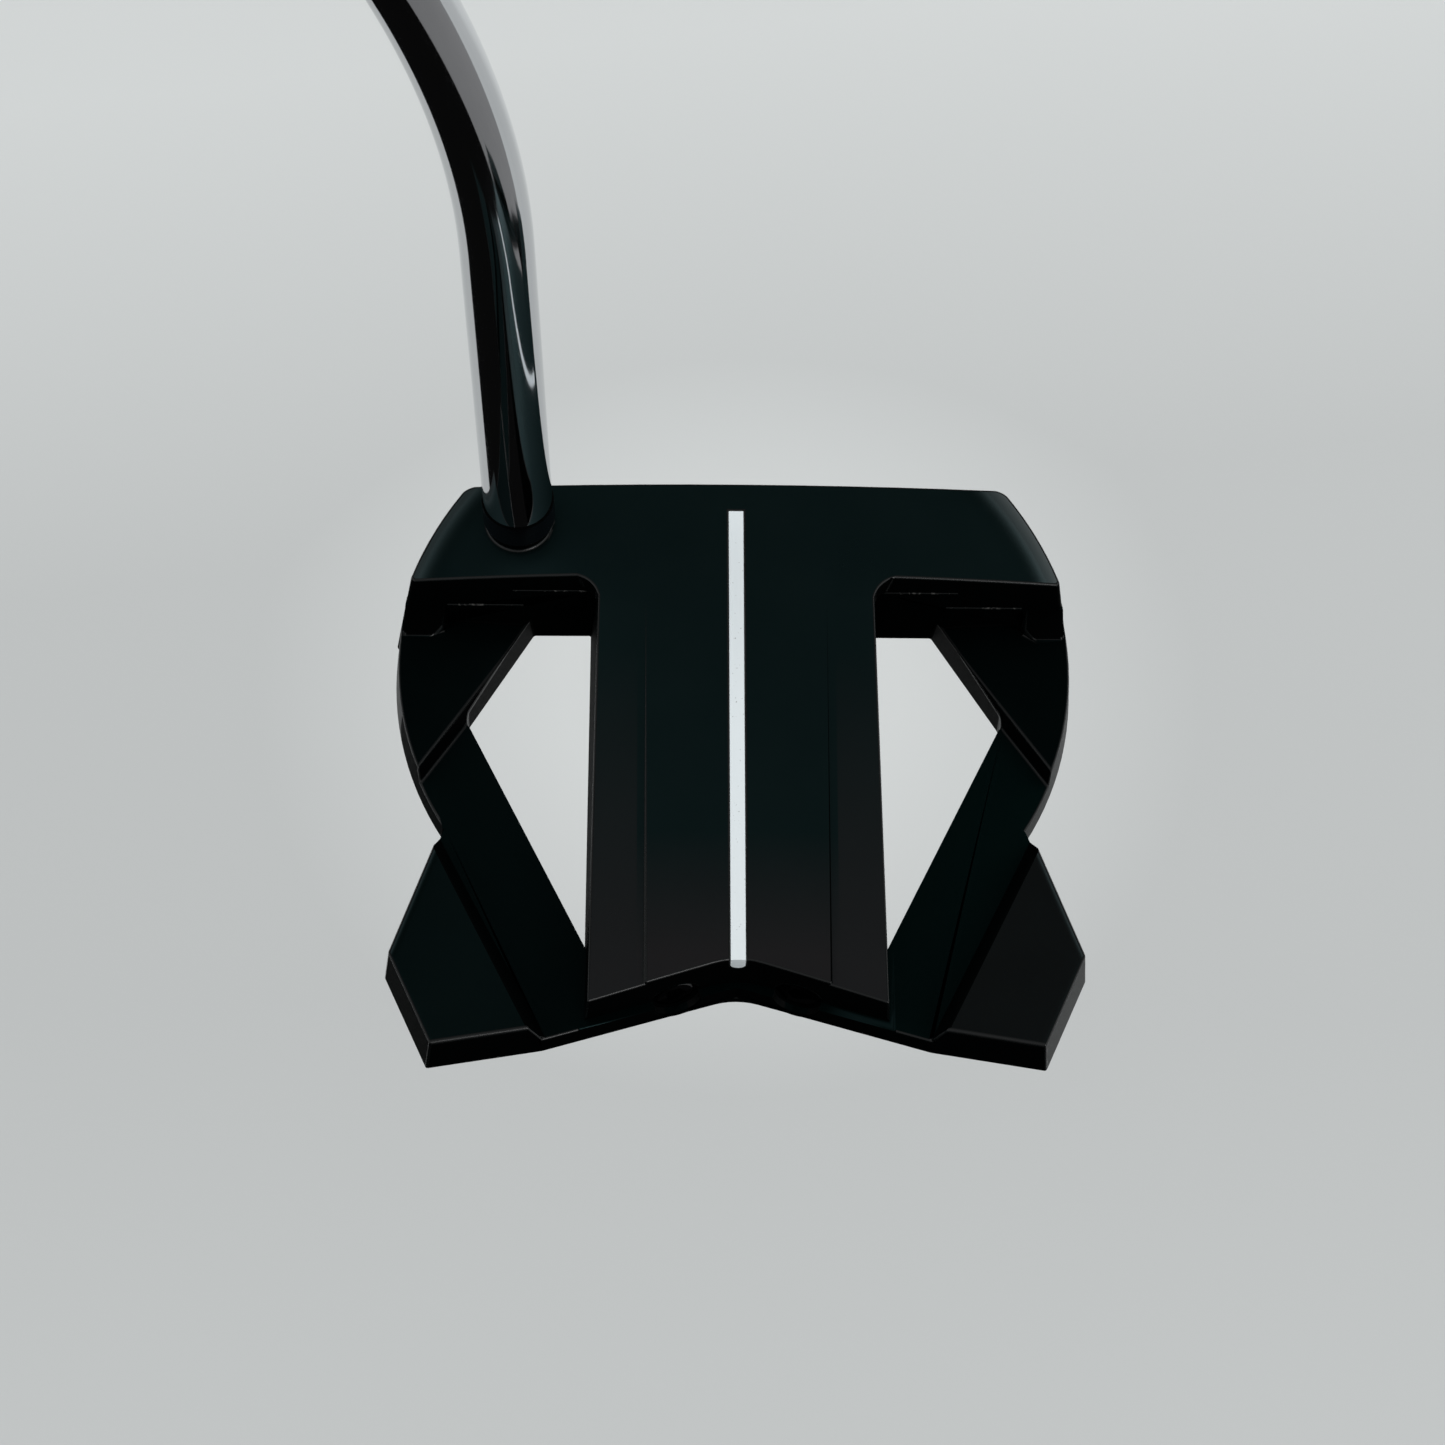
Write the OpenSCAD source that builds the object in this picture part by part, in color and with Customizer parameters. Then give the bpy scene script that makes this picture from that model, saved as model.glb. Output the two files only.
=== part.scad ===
// Mallet putter, right-handed: +X points to the toe, +Y to the target, +Z up.
// The origin lies on the flat sole, on the line of aim.

/* [Sole outline] */
// Leading edge of the sole, ahead of the origin
face_y = 30.15; // [28:0.05:34]
// Radius of the heel and toe arcs of the lower frame
frame_r = 49.3; // [47:0.1:51]
// Centre of those arcs ahead of the origin
frame_arc_y = 7.1; // [4:0.1:9]
// Radius of the drafted ends of the front block
end_r = 50; // [48:0.5:52]
// Draft of the block ends and walls
end_draft = 5.7; // [3:0.1:8]
// Sideways place of the centre of each block end
end_centre_x = 1.25; // [-1:0.05:4]
// Place of those centres along the line of aim
end_centre_y = -0.78; // [-2:0.02:1]
// Radius of the front corners in plan
front_r = 3.5; // [1:0.1:5]
// Radius of the rear outer corners in plan
rear_r = 0.9; // [0.5:0.1:4]
// Place of the rear notch on the sole
notch_y = -43.6; // [-45:0.1:-42]
// Sweep of the rear edges away from square
sweep = 16.7; // [12:0.1:20]
// Half width where the rear edges turn straighter, under the wings
tail_x = 27.4; // [25:0.1:30]
// Sweep of the rear edge of a wing
tail_sweep = 9.6; // [5:0.1:15]
// Radius in the rear notch
notch_r = 11; // [6:0.5:16]

/* [Deck] */
// Height of the deck above the rear edge of the front block
deck_z = 18.9; // [17:0.1:21]
// Fall of the deck towards the rear, in degrees
deck_fall = 7.24; // [5:0.1:9]
// Radius of the crown across the deck
crown_r = 530; // [400:10:800]
// Loft of the face
loft = 3; // [1:0.5:5]
// Rear edge of the front block, on the deck
block_rear_y = 15; // [13:0.1:17]
// Lean of the rear wall of the block
wall_lean = 7.85; // [5:0.1:10]
// Half width of the spine at the rear edge of the block
spine_half = 19.8; // [18:0.1:22]
// Draft of the spine sides
spine_draft = 3.2; // [2:0.1:5]
// Taper of the spine sides, wider to the rear
spine_taper = 0.7; // [0:0.1:1.5]
// Radius in the corners between block and spine
corner_r = 4; // [2:0.1:5]
// Half width of the raised panel on the spine
panel_half = 13; // [11:0.1:15]
// Start of the panel edges, ahead of the origin
crease_y = 12; // [8:0.5:13]
// Extra fall of the flanks beside the panel, in degrees
flank_fall = 0.6; // [0.3:0.1:1]

/* [Rear wall] */
// Reach of the flared foot under the rear wall
flare = 1.3; // [0.8:0.1:2]
// Height of the square lip at the sole
lip_h = 0.8; // [0.5:0.1:1.2]
// Radius of the cove above the lip
cove_r = 6; // [4:0.5:8]

/* [Rear wall pockets of the block] */
// Depth of a pocket at its deep end
pocket_d = 0.8; // [0.4:0.1:1.5]
// Top of the inner pocket
pocket_in_top = 14.9; // [12:0.1:16]
// Where the inner pocket runs out
pocket_in_x = 32.5; // [31:0.1:35]
// Top of the outer pocket at its outer end
pocket_out_top = 12; // [9:0.1:13]
// Fall of that top towards the spine
pocket_out_fall = 1.15; // [0:0.05:2]
// Outer end of the outer pocket
pocket_out_x = 41.8; // [40:0.1:43]
// Where the outer pocket runs out
pocket_out_in_x = 30; // [28:0.1:33]
// Corner radius of the pockets
pocket_r = 2; // [0.6:0.1:3]
// Rise of the wedge where the outer part of the wall stands on the arm
foot_rise = 4.5; // [3:0.1:6]
// Reach of that wedge on the arm
foot_run = 1.75; // [1:0.05:2.5]
// Radius at the foot of the wedge
foot_r = 0.7; // [0.3:0.1:1.2]

/* [Lower frame] */
// Height of the channel floor
floor_h = 4; // [3:0.1:5]
// Height of the arms beside the block
arm_h = 6.5; // [5.5:0.1:7.5]
// Height of the wings
wing_h = 8.5; // [7.5:0.1:9.5]
// Sideways place of the step between arm and channel
step_x = 38.3; // [36:0.1:40]
// Place of that step along the line of aim
step_y = -1.1; // [-3:0.1:1]
// Turn of the step in plan
step_turn = 56.2; // [50:0.1:62]
// Lean of the step between arm and channel
step_lean = 22; // [10:1:35]
// Lean of the step between wing and channel
wing_lean = 23; // [10:1:30]
// Lean of the outer sides of the wing
side_lean = 5; // [2:0.5:8]
// Draft of the heel and toe arcs
frame_draft = 4.6; // [2:0.1:6]

/* [Sight line] */
// Width of the sight line
line_w = 2.15; // [1.5:0.05:3]
// Depth of its groove
line_d = 2.7; // [1.5:0.1:4]
// Front end of the sight line
line_front_y = 24.8; // [20:0.1:26]
// Depth of the inlay below the deck
line_sink = 0.06; // [0.02:0.01:0.2]

/* [Face insert] */
// Width of the insert
insert_w = 46; // [36:1:48]
// Height of the insert
insert_h = 13; // [10:0.5:14]
// Thickness of the insert
insert_t = 3; // [2:0.1:3.5]
// Corner radius of the insert
insert_r = 3; // [1:0.5:6]
// Adhesive layer behind the insert
bond_t = 0.15; // [0.1:0.05:0.3]

/* [Rear weights] */
// Sideways place of each weight
weight_x = 8.25; // [7:0.1:11]
// Height of the weight axis
weight_z = 3.8; // [3.6:0.1:4.5]
// Radius of a weight
weight_r = 3.1; // [2.5:0.1:3.2]
// Length of a weight
weight_len = 9; // [6:0.5:12]
// Radius of the spot face round a weight
spot_r = 3.4; // [3.3:0.05:3.6]
// Depth of a spot face in the rear wall
spot_d = 0.35; // [0.2:0.05:0.6]
// Running clearance round a weight
weight_gap = 0.05; // [0.03:0.01:0.1]
// Width across flats of the drive recess
drive_af = 2.5; // [2:0.1:3.5]

/* [Hosel post] */
// Sideways place of the post
post_x = -31.5; // [-33:0.1:-30]
// Place of the post along the line of aim
post_y = 23.7; // [22:0.1:24]
// Lean of the post towards the heel
post_lean = 1.8; // [0:0.1:4]
// Height of the shoulder that the shaft butts on
shoulder_z = 25.3; // [24:0.1:28]
// Radius of the collar
collar_r = 5.2; // [5:0.05:5.5]
// Height of the cast boss that the collar seats on
seat_z = 20.2; // [20:0.1:21.5]
// How far the boss stands inside the collar's edge
boss_step = 0.4; // [0.3:0.1:0.8]
// Radius of the shank in the head
shank_r = 3.8; // [3:0.1:4.2]
// Length of the shank below the seat
shank_len = 13; // [8:0.5:14]
// Length of the spud inside the shaft
spud_len = 24; // [15:1:35]

/* [Shaft] */
// Outside radius of the lower shaft
tip_r = 5; // [4.5:0.05:5.1]
// Outside radius of the shaft at the butt
butt_r = 7.35; // [7:0.05:7.8]
// Wall of the tube
tube_wall = 0.6; // [0.5:0.05:1]
// Straight length from the shoulder to the bend
lower_len = 64; // [50:1:80]
// Radius of the bend
bend_r = 195; // [150:5:240]
// Angle of the bend
bend_a = 18.2; // [14:0.1:22]
// Straight parallel length above the bend
upper_len = 90; // [60:5:150]
// Length of the tapered part of the shaft
taper_len = 300; // [250:10:320]
// Parallel length under the grip
butt_len = 322; // [300:1:340]

/* [Grip] */
// Length of the grip
grip_len = 267; // [240:1:280]
// Radius of the grip at its mouth
grip_mouth_r = 9.4; // [9:0.1:11]
// Radius of the grip at the butt
grip_butt_r = 13.2; // [12.5:0.1:14.5]
// Flat front of the grip, distance from the axis at the butt
grip_flat = 10.6; // [9.5:0.1:11.5]
// Bulge of the heel of the grip
grip_heel = 3.2; // [1:0.1:5]
// Thickness of the tape under the grip
tape_t = 0.3; // [0.2:0.05:0.5]
// Thickness of the end cap
cap_t = 3; // [2:0.5:4]
// Radius of the vent hole in the cap
vent_r = 1.6; // [1:0.1:2.5]

/* [Hidden] */
$fn = 96;

fit = 0.02;                     // hairline between pieces that are fixed together
glue_t = 0.1;                   // adhesive sleeves
station_t = 0.3;                // thickness of a section of the grip
boss_h = 3;                     // reach of the boss down into the block
kiss = 0.05;                    // how far a rounding stands proud of what it meets
foot_y = block_rear_y - deck_z * tan(wall_lean);    // foot of the rear wall of the block
big = 130;                      // reach of the cutting blocks
black = [0.07, 0.07, 0.075];

// Points of a polygon whose corners [x, y, r] are rounded
function unit(v) = v / norm(v);
function round_corner(a, b, c, r, n = 6) =
    let (u = unit(a - b), v = unit(c - b), half = acos(u * v) / 2,
         centre = b + unit(u + v) * r / sin(half),
         from = b + u * r / tan(half), to = b + v * r / tan(half),
         a0 = atan2(from[1] - centre[1], from[0] - centre[0]),
         a1 = atan2(to[1] - centre[1], to[0] - centre[0]),
         turn = ((a1 - a0 + 540) % 360) - 180)
    [for (i = [0 : n]) centre + r * [cos(a0 + turn * i / n), sin(a0 + turn * i / n)]];
function xy(p) = [p[0], p[1]];
function rounded(pts) =
    [for (i = [0 : len(pts) - 1])
        let (p = pts[i], a = pts[(i + len(pts) - 1) % len(pts)], c = pts[(i + 1) % len(pts)])
        each (p[2] > 0 ? round_corner(xy(a), xy(p), xy(c), p[2]) : [xy(p)])];

// The deck plane: its origin is over the rear edge of the block
module on_deck() {
    translate([0, block_rear_y, deck_z]) rotate([deck_fall, 0, 0]) children();
}
function deck_height(y) = deck_z + (y - block_rear_y) * tan(deck_fall);
function crown_drop(x) = crown_r - sqrt(crown_r * crown_r - x * x);

module deck_volume() {
    on_deck() translate([0, 0, -crown_r]) rotate([90, 0, 0])
        cylinder(r = crown_r, h = 2 * big, center = true, $fn = 720);
}

module both_sides() {
    children();
    mirror([1, 0, 0]) children();
}

// Front block: a lofted face, a leaning rear wall and coned ends
module front_block() {
    top = deck_z + 8;
    difference() {
        intersection() {
            rotate([90, 0, 90]) linear_extrude(big, center = true)
                polygon([[face_y, 0], [face_y - top * tan(loft), top],
                         [foot_y + top * tan(wall_lean), top], [foot_y, 0]]);
            both_sides() intersection() {
                translate([end_centre_x, end_centre_y, 0])
                    cylinder(r1 = end_r, r2 = end_r - top * tan(end_draft), h = top, $fn = 180);
                translate([0, -big / 2, 0]) cube([big, big, top]);
            }
        }
        both_sides() {
            corner_cut(front_r, face_y, 1, -tan(loft));
            corner_cut(rear_r, foot_y, -1, tan(wall_lean));
        }
    }
}

// Rounds the upright corner between a coned end and the wall that stands at wall_y and moves
// by wall_run for each unit of height; side is 1 for the face, -1 for the rear wall
module corner_cut(r, wall_y, side, wall_run) {
    cy = wall_y - side * (r - kiss);
    cx = end_centre_x + sqrt(pow(end_r - r + kiss, 2) - pow(cy - end_centre_y, 2));
    out = unit([cx - end_centre_x, cy - end_centre_y]);
    run = -(tan(end_draft) + out[1] * wall_run) / out[0];
    length = norm([run, wall_run, 1]);
    translate([cx, cy, 0]) rotate([-asin(wall_run / length), atan(run), 0]) difference() {
        translate([0, 0, -5]) linear_extrude(deck_z + 15)
            polygon([[0, 0], [0, side * 4 * r], 4 * r * [out[0], side], 4 * r * out]);
        translate([0, 0, -6]) cylinder(r = r, h = deck_z + 17);
    }
}

// Frame of the rear wall of the block: Y runs up the wall, Z points out of it
module at_wall() {
    translate([0, foot_y, 0]) rotate([90 - wall_lean, 0, 0]) children();
}

// Pockets milled into that wall; the floor of each rises until the pocket runs out
module wall_pocket(outline, x_deep, x_out) {
    both_sides() at_wall() intersection() {
        translate([0, 0, -5]) linear_extrude(10) polygon(rounded(outline));
        translate([x_out, 0, 0]) rotate([0, atan(pocket_d / (x_deep - x_out)), 0])
            translate([-big, -big, 0]) cube([2 * big, 2 * big, big]);
    }
}

module block_pockets() {
    inner = spine_half - 4;
    wall_pocket([[inner, -1, 0], [pocket_in_x + 1, -1, 0], [pocket_in_x + 1, pocket_in_top, 0],
                 [inner, pocket_in_top, 0]], spine_half, pocket_in_x);
    wall_pocket([[pocket_out_in_x - 1, -1, 0], [pocket_out_x, -1, 0],
                 [pocket_out_x, pocket_out_top, pocket_r],
                 [pocket_out_in_x - 1, pocket_out_top - pocket_out_fall, 0]],
                pocket_out_x, pocket_out_in_x);
}

// Wedge where the outer part of the wall stands on the arm, with a slanted inner end
function wall_y(z) = foot_y + z * tan(wall_lean);
module foot_wedge() {
    top = arm_h + foot_rise;
    toe = wall_y(arm_h) - foot_run;
    // how far it reaches into the block and under the arm's top
    root = 1.5;
    inner_x = pocket_out_x + 0.5;
    both_sides() intersection() {
        translate([inner_x, 0, 0]) rotate([90, 0, 90]) linear_extrude(10)
            polygon(rounded([[wall_y(top) + root, top, 0], [wall_y(top) + kiss, top, 0],
                             [toe, arm_h, foot_r], [toe - root, arm_h - kiss, 0],
                             [toe - root, arm_h - root, 0], [wall_y(top) + root, arm_h - root, 0]]));
        translate([0, frame_arc_y, 0]) cylinder(r = frame_r - 1, h = deck_z);
        beyond([inner_x, toe + foot_r], [inner_x + 2 * foot_r, toe - foot_r / 5], 0, 1);
    }
}

// Spine: its sides are drafted and widen a little to the rear
module spine_side_cut() {
    translate([spine_half, block_rear_y, deck_z]) rotate([0, 0, spine_taper])
        rotate([0, -spine_draft, 0]) translate([0, -big, -deck_z * 2]) cube([big, big * 1.4, big]);
}

module spine_bar() {
    difference() {
        translate([-spine_half * 1.2, -big / 2, 0])
            cube([spine_half * 2.4, big / 2 + block_rear_y + 1, deck_z + 8]);
        both_sides() spine_side_cut();
    }
}

module corner_fillets() {
    both_sides() difference() {
        translate([spine_half - 1, block_rear_y - corner_r, pocket_in_top])
            cube([corner_r + 1, corner_r + 1, deck_z]);
        translate([spine_half + corner_r, block_rear_y - corner_r, 0])
            cylinder(r = corner_r, h = 2 * deck_z);
    }
}

// Flanks that fall away from the raised panel towards the rear
module flank_cut() {
    tilt = asin((panel_half + spine_half) / 2 / crown_r);
    both_sides()
        translate([panel_half, crease_y, deck_height(crease_y) - crown_drop(panel_half)])
            rotate([deck_fall + flank_fall, 0, 0]) rotate([0, tilt, 0])
                translate([0, -big, 0]) cube([spine_half, big, 10]);
}

// Rear wall: upright, with a cove that flares out to a square lip
function cove_points(n = 8) =
    let (a1 = acos(1 - flare / cove_r), cz = lip_h + cove_r * sin(a1))
    [for (i = [0 : n]) let (a = 180 + a1 * i / n) [cove_r + cove_r * cos(a), cz + cove_r * sin(a)]];

module rear_profile(inside) {
    polygon(concat([[-inside, 40], [0, 40]], cove_points(), [[flare, -1], [-inside, -1]]));
}

module rear_volume() {
    reach = 90;
    wall_r = notch_r + flare;
    // centre of the notch radius, behind the lip
    centre_y = notch_y - notch_r / cos(sweep);
    translate([0, centre_y, 0]) {
        rotate([0, 0, 90 - sweep]) rotate_extrude(angle = 2 * sweep, $fn = 180)
            translate([wall_r, 0]) mirror([1, 0]) rear_profile(reach);
        both_sides() rotate([0, 0, -sweep]) translate([0, wall_r, 0])
            rotate([90, 0, 90]) linear_extrude(2 * reach, center = true) mirror([1, 0]) rear_profile(reach);
    }
}

// One half of the sole plate, as seen from above, with room to spare at the outer side
function sweep_y(x) = notch_y - x * tan(sweep);
function sole_half(side = 60) =
    rounded([[0, block_rear_y + 1, 0], [side, block_rear_y + 1, 0],
             [side, sweep_y(tail_x) - (side - tail_x) * tan(tail_sweep), 0],
             [tail_x, sweep_y(tail_x), 4], [0, notch_y, 0]]);

// Corners of the wing on the sole
side_front = [42.05, -18.8];
side_tip = [49.8, -40.5];
side_rear = [43.65, -54.5];
inner_front = [41.8, -17.5];
inner_rear = [26.4, -49.4];
inner_tail = [27.4, -51.7];

// What lies beside the line from p to q, with a wall that leans in as it rises:
// on the right of it, or on the left of it with left = 1
module beyond(p, q, lean, left = 0) {
    d = q - p;
    translate([p[0], p[1], 0]) rotate([0, 0, atan2(d[1], d[0])]) rotate([-lean, 0, 0])
        translate([-big, (left - 1) * big, -big]) cube([2 * big, big, 2 * big]);
}

module behind_arcs() {
    translate([0, side_front[1] - big, -1]) cube([big, big, 3 * wing_h]);
}

// Arm in front of the step, which leans back
module arm_place() {
    translate([step_x, step_y, floor_h]) rotate([0, 0, -step_turn]) rotate([-step_lean, 0, 0])
        translate([-big, 0, -big]) cube([2 * big, big, 2 * big]);
}

module wing_place() {
    intersection() {
        beyond(inner_front, inner_rear, wing_lean, 1);
        beyond(inner_rear, inner_tail, 0, 1);
        behind_arcs();
    }
}

module above(z) {
    translate([-1, -big, z]) cube([big, 2 * big, big]);
}

// Opening beside the spine: its outer side runs out to a vertex and back
window_front = [23.8, 24];
window_vertex = [38.9, -1.2];
window_rear = [20.4, -39.6];
module window() {
    translate([0, 0, -1]) linear_extrude(wing_h + 2)
        polygon(rounded([[0, window_front[1], 0], [each window_front, 0], [each window_vertex, 2.2],
                         [each window_rear, 0.8], [0, window_rear[1], 0]]));
}

// Lower frame: channels between the arms and the raised wings, round two windows
module lower_frame() {
    both_sides() difference() {
        intersection() {
            linear_extrude(wing_h) polygon(sole_half());
            union() {
                translate([0, frame_arc_y, 0])
                    cylinder(r1 = frame_r, r2 = frame_r - wing_h * tan(frame_draft), h = wing_h, $fn = 180);
                behind_arcs();
            }
        }
        difference() {
            above(floor_h);
            arm_place();
            wing_place();
        }
        difference() {
            above(arm_h);
            wing_place();
        }
        intersection() {
            union() {
                beyond(side_rear, side_tip, side_lean);
                beyond(side_tip, side_front, side_lean);
            }
            behind_arcs();
        }
        window();
    }
}

// Section of the sight line groove, with a round bottom
module line_section(w, d) {
    translate([-w / 2, -d + w / 2]) square([w, d - w / 2 + 3]);
    translate([0, -d + w / 2]) circle(d = w);
}

module line_run(w, d, top) {
    front = (line_front_y - block_rear_y) / cos(deck_fall);
    intersection() {
        on_deck() translate([0, front, 0]) rotate([90, 0, 0]) linear_extrude(big) line_section(w, d);
        on_deck() translate([-5, -big, -10]) cube([10, 2 * big, 10 + top]);
    }
}

module at_face() {
    translate([0, face_y, 0]) rotate([loft, 0, 0]) children();
}

module insert_shape(grow, depth_from, depth_to) {
    w = insert_w / 2 + grow;
    h = insert_h / 2 + grow;
    r = insert_r + grow;
    at_face() translate([0, -depth_from, 1.5 + insert_h / 2 + bond_t]) rotate([90, 0, 0])
        linear_extrude(depth_to - depth_from)
            polygon(rounded([[-w, -h, r], [w, -h, r], [w, h, r], [-w, h, r]]));
}

// Frame of a weight port: its -Y axis points out of the rear wall
module at_port() {
    translate([weight_x, sweep_y(weight_x), weight_z]) rotate([0, 0, -sweep])
        translate([0, flare, 0]) children();
}

module weight_port() {
    at_port() rotate([90, 0, 0]) {
        translate([0, 0, -spot_d]) cylinder(r = spot_r, h = 12);
        translate([0, 0, -spot_d - weight_len]) cylinder(r = weight_r + weight_gap, h = weight_len + 1);
    }
}

module weight_plug() {
    at_port() rotate([90, 0, 0]) translate([0, 0, -spot_d - weight_len]) difference() {
        union() {
            cylinder(r = weight_r, h = weight_len - 0.3);
            translate([0, 0, weight_len - 0.3]) cylinder(r1 = weight_r, r2 = weight_r - 0.3, h = 0.3);
        }
        translate([0, 0, weight_len - 2]) cylinder(d = drive_af / cos(30), h = 3, $fn = 6);
    }
}

module at_post() {
    translate([post_x, post_y, shoulder_z]) rotate([0, -post_lean, 0]) children();
}

module at_seat() {
    at_post() translate([0, 0, seat_z - shoulder_z]) children();
}

module post_bore() {
    at_seat() translate([0, 0, -shank_len - glue_t]) cylinder(r = shank_r + glue_t, h = 2 * shank_len);
}

// Round boss under the collar
module post_boss() {
    at_seat() translate([0, 0, -boss_h]) cylinder(r = collar_r - boss_step, h = boss_h);
}

module head_body() {
    color(black) difference() {
        union() {
            lower_frame();
            intersection() {
                difference() {
                    union() {
                        difference() {
                            front_block();
                            block_pockets();
                        }
                        spine_bar();
                        corner_fillets();
                        foot_wedge();
                    }
                    flank_cut();
                }
                deck_volume();
                rear_volume();
            }
            post_boss();
        }
        post_bore();
        insert_shape(bond_t, -2, insert_t + bond_t);
        line_run(line_w, line_d, 9);
        weight_port();
        mirror([1, 0, 0]) weight_port();
    }
}

module face_insert() {
    color([0.2, 0.2, 0.21]) insert_shape(0, 0, insert_t);
}

module insert_bond() {
    color([0.55, 0.5, 0.35]) difference() {
        insert_shape(bond_t - fit, 0.3, insert_t + bond_t);
        insert_shape(0, 0, insert_t);
    }
}

module sight_line() {
    color([0.93, 0.93, 0.92]) intersection() {
        line_run(line_w - 2 * fit, line_d - fit, -line_sink);
        rear_volume();
    }
}

module weight_toe() {
    color([0.1, 0.1, 0.11]) weight_plug();
}

module weight_heel() {
    color([0.1, 0.1, 0.11]) mirror([1, 0, 0]) weight_plug();
}

module hosel_post() {
    collar_len = shoulder_z - seat_z;
    color([0.05, 0.05, 0.055]) at_post() {
        translate([0, 0, fit - collar_len]) cylinder(r = collar_r, h = collar_len - fit);
        translate([0, 0, -collar_len - shank_len]) cylinder(r = shank_r, h = shank_len + 1);
        translate([0, 0, -1]) cylinder(r = tip_r - tube_wall - glue_t, h = spud_len);
        translate([0, 0, spud_len - 1])
            cylinder(r1 = tip_r - tube_wall - glue_t, r2 = tip_r - tube_wall - glue_t - 1, h = 1);
    }
}

module post_bond() {
    color([0.55, 0.5, 0.35]) at_seat() translate([0, 0, -shank_len - glue_t]) difference() {
        cylinder(r = shank_r + glue_t - fit / 4, h = shank_len + glue_t);
        translate([0, 0, glue_t]) cylinder(r = shank_r, h = shank_len + 1);
    }
}

module shaft_bond() {
    color([0.55, 0.5, 0.35]) at_post() difference() {
        cylinder(r = tip_r - tube_wall - fit / 4, h = spud_len - 1);
        translate([0, 0, -1]) cylinder(r = tip_r - tube_wall - glue_t, h = spud_len + 1);
    }
}

// Frames along the shaft
module at_bend() {
    at_post() translate([0, 0, lower_len]) children();
}

module at_upper() {
    at_bend() translate([-bend_r, 0, 0]) rotate([0, -bend_a, 0]) translate([bend_r, 0, 0]) children();
}

module at_taper() {
    at_upper() translate([0, 0, upper_len]) children();
}

module at_butt() {
    at_taper() translate([0, 0, taper_len + butt_len]) children();
}

module shaft() {
    z_taper = upper_len + taper_len;
    z_butt = z_taper + butt_len;
    color([0.75, 0.76, 0.78]) {
        at_post() rotate_extrude() translate([tip_r - tube_wall, 0]) square([tube_wall, lower_len]);
        at_bend() translate([-bend_r, 0, 0]) rotate([90, 0, 0])
            rotate_extrude(angle = bend_a, $fn = 360) translate([bend_r, 0]) difference() {
                circle(r = tip_r);
                circle(r = tip_r - tube_wall);
            }
        at_upper() rotate_extrude() translate([tip_r - tube_wall * 0.7, -0.5]) square([tube_wall * 0.4, 1]);
        at_upper() rotate_extrude() polygon([[tip_r, 0], [tip_r, upper_len], [butt_r, z_taper],
            [butt_r, z_butt], [butt_r - tube_wall, z_butt], [butt_r - tube_wall, z_taper],
            [tip_r - tube_wall, upper_len], [tip_r - tube_wall, 0]]);
    }
}

module grip_tape() {
    color([0.85, 0.8, 0.65]) at_butt() translate([0, 0, -grip_len + 6]) difference() {
        cylinder(r = butt_r + tape_t, h = grip_len - 6);
        translate([0, 0, -1]) cylinder(r = butt_r + fit / 4, h = grip_len);
    }
}

// Grip: round at the mouth, flat in front and full at the heel of the hand
module grip_station(z, r, flat, heel) {
    translate([0, 0, z]) linear_extrude(station_t) intersection() {
        union() {
            circle(r = r, $fn = 48);
            translate([-heel, 0]) circle(r = r * 0.93, $fn = 48);
        }
        translate([-big, -big / 2]) square([big + flat, big]);
    }
}

module grip() {
    color([0.06, 0.06, 0.06]) at_butt() difference() {
        union() {
            hull() {
                grip_station(-grip_len, grip_mouth_r - 0.8, grip_mouth_r - 1.2, 0);
                grip_station(-grip_len + 1.5, grip_mouth_r, grip_mouth_r - 0.6, 0);
                grip_station(-grip_len * 0.75, grip_mouth_r + 1.1, grip_mouth_r - 0.3, 0.5);
                grip_station(-grip_len * 0.4, grip_butt_r - 1.2, grip_flat - 0.6, grip_heel * 0.4);
            }
            hull() {
                grip_station(-grip_len * 0.4, grip_butt_r - 1.2, grip_flat - 0.6, grip_heel * 0.4);
                grip_station(-grip_len * 0.2, grip_butt_r, grip_flat, grip_heel);
                grip_station(-station_t, grip_butt_r, grip_flat, grip_heel);
            }
        }
        translate([0, 0, -grip_len - 1]) cylinder(r = butt_r + tape_t + fit, h = grip_len + 2);
    }
}

module grip_cap() {
    color([0.05, 0.05, 0.05]) at_butt() difference() {
        union() {
            hull() {
                grip_station(fit, grip_butt_r, grip_flat, grip_heel);
                grip_station(cap_t - 1, grip_butt_r, grip_flat, grip_heel);
                grip_station(cap_t - station_t, grip_butt_r - 1, grip_flat - 1, grip_heel);
            }
            translate([0, 0, -8]) cylinder(r = butt_r - tube_wall - fit, h = 8.5);
        }
        translate([0, 0, -10]) cylinder(r = vent_r, h = 20);
    }
}

head_body();
face_insert();
insert_bond();
sight_line();
weight_heel();
weight_toe();
hosel_post();
post_bond();
shaft_bond();
shaft();
grip_tape();
grip();
grip_cap();
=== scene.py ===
import math
import bpy
from mathutils import Matrix, Vector


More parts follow.
